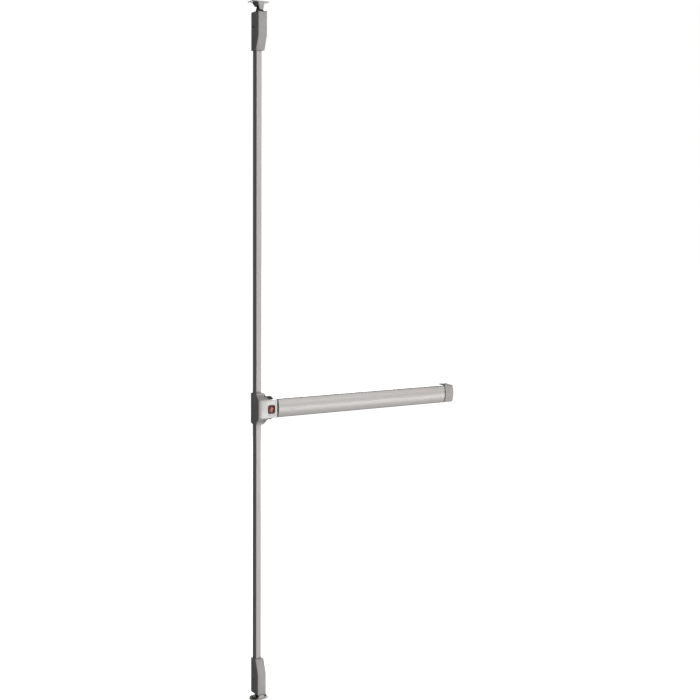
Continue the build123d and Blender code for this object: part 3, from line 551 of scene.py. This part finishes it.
# ---------------------------------------------------------------- pieces
COVERS = ("body_cover", "upper_case_cover", "lower_case_cover", "end_cap")
NOSE_SHARE = 0.8        # the nose's round-over as a share of the covers'
CASTINGS = ("top_strike", "top_strike_shim", "floor_strike", "floor_socket", "upper_bolt", "lower_bolt",
            "left_lever", "right_lever", "end_bracket", "left_bar_plug", "right_bar_plug")
# Screws by node: axis, side of the heads, head radius, head height and shank radius in millimetres.
SCREWS = {
    "body_screws": (1, -1, 3.2, 1.95, 1.6),
    "end_cap_screw": (0, 1, 3.0, 1.6, 1.6),
    "left_plug_screws": (1, 1, 3.0, 1.8, 1.6),
    "right_plug_screws": (1, 1, 3.0, 1.8, 1.6),
    "upper_case_screws": (0, 0, 3.2, 1.4, 1.5),
    "lower_case_screws": (0, 0, 3.2, 1.4, 1.5),
}


class EXITBAR_OT_covers(bpy.types.Operator):
    """Round over the moulded covers"""
    bl_idname = "exitbar.covers"
    bl_label = "Moulded covers"

    def execute(self, context):
        edge = context.scene.exit_bar_sizes.cover_edge
        for node in COVERS:
            softened(node, edge)
        softened("nose_cover", edge * NOSE_SHARE)
        return {"FINISHED"}


class EXITBAR_OT_castings(bpy.types.Operator):
    """Round over the strikes, bolts, levers and brackets that show"""
    bl_idname = "exitbar.castings"
    bl_label = "Castings"

    def execute(self, context):
        edge = context.scene.exit_bar_sizes.metal_edge
        for node in CASTINGS:
            softened(node, edge, segments=2)
        return {"FINISHED"}


class EXITBAR_OT_badge(bpy.types.Operator):
    """Build the push badge: an enamel plate with a raised rim and a plain arrow"""
    bl_idname = "exitbar.badge"
    bl_label = "Push badge"

    def execute(self, context):
        rim = context.scene.exit_bar_sizes.badge_rim * MM
        low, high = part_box("push_badge")
        plate = rounded_plate("push_badge_enamel", low, high, BADGE_CORNER * MM, rim)
        paint(plate, "badge_red")
        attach(plate, "mounting")
        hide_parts("push_badge")
        arrow = softened("badge_mark", 0.15, segments=2)
        arrow.name = "push_badge_arrow"
        return {"FINISHED"}


def rounded_plate(name, low, high, corner, rim):
    """Plate facing -Y with round corners, a raised rim and a dished face."""
    work = bmesh.new()
    middle = (Vector(low) + Vector(high)) / 2
    half_x = (high[0] - low[0]) / 2
    half_z = (high[2] - low[2]) / 2
    steps = 10

    def ring(inset, y):
        points = []
        radius = max(corner - inset, 0.4 * MM)
        for quarter, (side_x, side_z) in enumerate(((1, 1), (-1, 1), (-1, -1), (1, -1))):
            centre_x = middle[0] + side_x * (half_x - inset - radius)
            centre_z = middle[2] + side_z * (half_z - inset - radius)
            for step in range(steps + 1):
                turn = math.pi / 2 * (quarter + step / steps)
                points.append(work.verts.new((centre_x + radius * math.cos(turn), y,
                                              centre_z + radius * math.sin(turn))))
        return points

    back = high[1]
    front = low[1]
    profile = [(0, back), (0, front + 0.35 * MM), (0.12 * MM, front + 0.1 * MM), (0.4 * MM, front),
               (rim * 0.7, front), (rim, front + 0.2 * MM), (rim + 0.3 * MM, front + BADGE_DISH * MM)]
    rings = [ring(inset, y) for inset, y in profile]
    for outer, inner in zip(rings, rings[1:]):
        for i in range(len(outer)):
            j = (i + 1) % len(outer)
            work.faces.new((outer[i], outer[j], inner[j], inner[i]))
    work.faces.new(rings[0])
    work.faces.new(list(reversed(rings[-1])))
    bmesh.ops.recalc_face_normals(work, faces=work.faces)
    piece = object_from(work, name)
    smooth_by_angle(piece.data, SMOOTH_BADGE)
    return piece


class EXITBAR_OT_screws(bpy.types.Operator):
    """Build the cross-head screws of the covers, the plugs and the end cap"""
    bl_idname = "exitbar.screws"
    bl_label = "Screws"

    def execute(self, context):
        for node, sizes in SCREWS.items():
            screw_set(node, *sizes)
        return {"FINISHED"}


class EXITBAR_OT_springs(bpy.types.Operator):
    """Wind the bolt springs, at one fixed length, and the return springs"""
    bl_idname = "exitbar.springs"
    bl_label = "Springs"

    def execute(self, context):
        turns = context.scene.exit_bar_sizes.spring_turns
        for side, fixed_low in (("upper", True), ("lower", False)):
            node = f"{side}_bolt_spring"
            low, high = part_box(node)
            piece = bolt_spring(f"{side}_bolt_spring_wound", low, high, turns)
            paint(piece, "spring_steel")
            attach(piece, "mounting")
            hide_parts(node)
            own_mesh(piece)
        for side in ("left", "right"):
            node = f"{side}_return_spring"
            pin_low, pin_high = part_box(f"{side}_lever_pin")
            centre = (pin_low[0] + pin_high[0]) / 2
            low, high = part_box(node)
            piece = return_spring(f"{side}_return_spring_wound", low, high, centre)
            paint(piece, "spring_steel")
            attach(piece, "mounting")
            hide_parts(node)
        return {"FINISHED"}


def bolt_spring(name, low, high, turns):
    """Compression spring with its end turns closed flat."""
    wire = BOLT_WIRE * MM
    radius = (high[0] - low[0]) / 2 - wire
    centre_x = (low[0] + high[0]) / 2
    centre_y = (low[1] + high[1]) / 2
    closed = 1.3                        # closed turns at each end
    closed_rise = closed * 2.05 * wire  # one closed turn rises a little more than the wire's thickness
    total = turns + 2 * closed
    start = low[2] + wire
    stop = high[2] - wire
    points = []
    for i in range(int(total * WIRE_STEPS) + 1):
        turn = i / WIRE_STEPS
        if turn < closed:
            z = start + closed_rise * turn / closed
        elif turn > total - closed:
            z = stop - closed_rise * (total - turn) / closed
        else:
            z = start + closed_rise + (stop - start - 2 * closed_rise) * (turn - closed) / turns
        angle = 2 * math.pi * turn
        points.append((centre_x + radius * math.cos(angle), centre_y + radius * math.sin(angle), z))
    return wound_wire(name, points, wire)


def return_spring(name, low, high, centre_x):
    """Torsion spring round a lever pin: close turns and a leg bent back to the base."""
    wire = RETURN_WIRE * MM
    reach_left = centre_x - low[0]
    reach_right = high[0] - centre_x
    radius = min(reach_left, reach_right) - wire
    hand = 1 if reach_right >= reach_left else -1
    centre_y = low[1] + radius + wire
    leg_end = high[1] - 1 * MM
    count = 4 * WIRE_STEPS              # four turns
    points = [(centre_x + hand * radius, leg_end, low[2] + wire)]
    for i in range(count + 1):
        angle = 2 * math.pi * i / WIRE_STEPS
        z = low[2] + wire + (high[2] - low[2] - 2 * wire) * i / count
        points.append((centre_x + hand * radius * math.cos(angle), centre_y - radius * math.sin(angle), z))
    return wound_wire(name, points, wire)


class EXITBAR_OT_finishes(bpy.types.Operator):
    """Give every frame piece that still shows its finish"""
    bl_idname = "exitbar.finishes"
    bl_label = "Finishes"

    def execute(self, context):
        for node, piece in NODES.items():
            if piece.hide_render:
                continue
            for slot in piece.material_slots:
                slot.material = finish_of(SLOT_OF[node])
        return {"FINISHED"}


# ---------------------------------------------------------------- studio
MIDDLE = (0.2, 0, 0.1)
# Soft lights: name, place, the point it faces, and size, in metres. The strip is low and long, so
# that the bar's crown mirrors it as one band. The right and back lights don't reach the front.
LIGHTS = (
    ("key", (3.3, -4.6, 0.1), MIDDLE, (6.0, 4.5)),
    ("fill", (1.4, -4.6, 2.6), MIDDLE, (6.0, 4.0)),
    ("bounce", (2.2, -3.6, -3.0), MIDDLE, (6.0, 3.0)),
    ("strip", (3.0, -4.1, -1.2), (0.4, 0, 0), (5.5, 0.6)),
    ("left", (-2.0, -5.0, 0.4), MIDDLE, (4.0, 4.0)),
    ("right", (4.6, -0.2, 0.6), MIDDLE, (3.0, 3.0)),
    ("back", (2.6, 4.0, 0.9), MIDDLE, (3.0, 3.0)),
)


def soft_light(name, place, aim, size, power):
    """Rectangular soft light that faces the aim point."""
    lamp = bpy.data.lights.new(name, "AREA")
    lamp.shape = "RECTANGLE"
    lamp.size, lamp.size_y = size
    lamp.energy = power
    light = linked(name, lamp)
    light.location = place
    light.rotation_euler = (Vector(aim) - Vector(place)).to_track_quat("-Z", "Y").to_euler()


def aimed_camera(studio):
    """Camera turned by its heading, tilt and roll."""
    lens = bpy.data.cameras.new("camera")
    lens.lens = studio.lens
    lens.sensor_width = 36.0
    lens.clip_end = 100.0
    forward = Vector((math.sin(studio.heading) * math.cos(studio.tilt),
                      math.cos(studio.heading) * math.cos(studio.tilt),
                      -math.sin(studio.tilt)))
    level = Vector((math.cos(studio.heading), -math.sin(studio.heading), 0))
    upright = level.cross(forward)
    right = math.cos(studio.roll) * level + math.sin(studio.roll) * upright
    up = math.cos(studio.roll) * upright - math.sin(studio.roll) * level
    camera = linked("camera", lens)
    turn = Matrix((right, up, -forward)).transposed().to_4x4()
    camera.matrix_world = Matrix.Translation(studio.place) @ turn
    return camera


def paper_floor(studio):
    """Pale floor at the foot of the floor strike. It glows, but lights and mirrors nothing."""
    low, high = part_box("floor_strike")
    work = bmesh.new()
    bmesh.ops.create_grid(work, x_segments=1, y_segments=1, size=40)
    floor = object_from(work, "floor")
    floor.location.z = low[2]
    paper = bpy.data.materials.new("Matt backdrop paper")
    paper.use_nodes = True
    shader = paper.node_tree.nodes["Principled BSDF"]
    shader.inputs["Base Color"].default_value = srgb(studio.floor_colour)
    shader.inputs["Roughness"].default_value = 0.9
    shader.inputs["Emission Color"].default_value = srgb(studio.floor_colour)
    shader.inputs["Emission Strength"].default_value = studio.floor_glow
    floor.data.materials.append(paper)
    for rays in ("visible_diffuse", "visible_glossy", "visible_transmission", "visible_shadow"):
        setattr(floor, rays, False)


def white_room(strength):
    """Surround that reads as white behind the object and lights it gently from all round."""
    world = bpy.data.worlds.new("White room")
    world.use_nodes = True
    tree = world.node_tree
    tree.nodes.clear()
    path = add_node(tree, "ShaderNodeLightPath")
    gentle = add_node(tree, "ShaderNodeBackground", {"Color": (1, 1, 1, 1), "Strength": strength})
    white = add_node(tree, "ShaderNodeBackground", {"Color": (1, 1, 1, 1), "Strength": 1.0})
    mix = add_node(tree, "ShaderNodeMixShader",
                   {0: path.outputs["Is Camera Ray"], 1: gentle.outputs["Background"],
                    2: white.outputs["Background"]})
    add_node(tree, "ShaderNodeOutputWorld", {"Surface": mix.outputs["Shader"]})
    return world


class EXITBAR_OT_studio(bpy.types.Operator):
    """Set the camera, the floor, the surround and the soft lights"""
    bl_idname = "exitbar.studio"
    bl_label = "Studio"

    def execute(self, context):
        scene = context.scene
        studio = scene.exit_bar_studio
        scene.camera = aimed_camera(studio)
        paper_floor(studio)
        for name, place, aim, size in LIGHTS:
            soft_light(name, place, aim, size, getattr(studio, f"{name}_power"))
        scene.world = white_room(studio.surround)
        scene.view_settings.view_transform = "Standard"
        return {"FINISHED"}


# ---------------------------------------------------------------- add-on
STEPS = (EXITBAR_OT_covers, EXITBAR_OT_castings, EXITBAR_OT_badge, EXITBAR_OT_screws, EXITBAR_OT_springs,
         EXITBAR_OT_finishes, EXITBAR_OT_studio)


class EXITBAR_PT_panel(bpy.types.Panel):
    """Lists the exit bar's pieces and their settings"""
    bl_idname = "EXITBAR_PT_panel"
    bl_label = "Exit Bar"
    bl_space_type = "VIEW_3D"
    bl_region_type = "UI"
    bl_category = "Exit Bar"

    def draw(self, context):
        layout = self.layout
        for group in (context.scene.exit_bar_sizes, context.scene.exit_bar_studio):
            box = layout.box()
            for key in group.bl_rna.properties.keys():
                if key not in ("rna_type", "name"):
                    box.prop(group, key)
        for step in STEPS:
            layout.operator(step.bl_idname)


CLASSES = (ExitBarSizes, ExitBarStudio, *STEPS, EXITBAR_PT_panel)


def register():
    for cls in CLASSES:
        bpy.utils.register_class(cls)
    bpy.types.Scene.exit_bar_sizes = PointerProperty(type=ExitBarSizes)
    bpy.types.Scene.exit_bar_studio = PointerProperty(type=ExitBarStudio)


def unregister():
    del bpy.types.Scene.exit_bar_studio
    del bpy.types.Scene.exit_bar_sizes
    for cls in reversed(CLASSES):
        bpy.utils.unregister_class(cls)


def main():
    register()
    bpy.ops.exitbar.covers()
    bpy.ops.exitbar.castings()
    bpy.ops.exitbar.badge()
    bpy.ops.exitbar.screws()
    bpy.ops.exitbar.springs()
    bpy.ops.exitbar.finishes()
    bpy.ops.exitbar.studio()


if __name__ == "__main__":
    main()
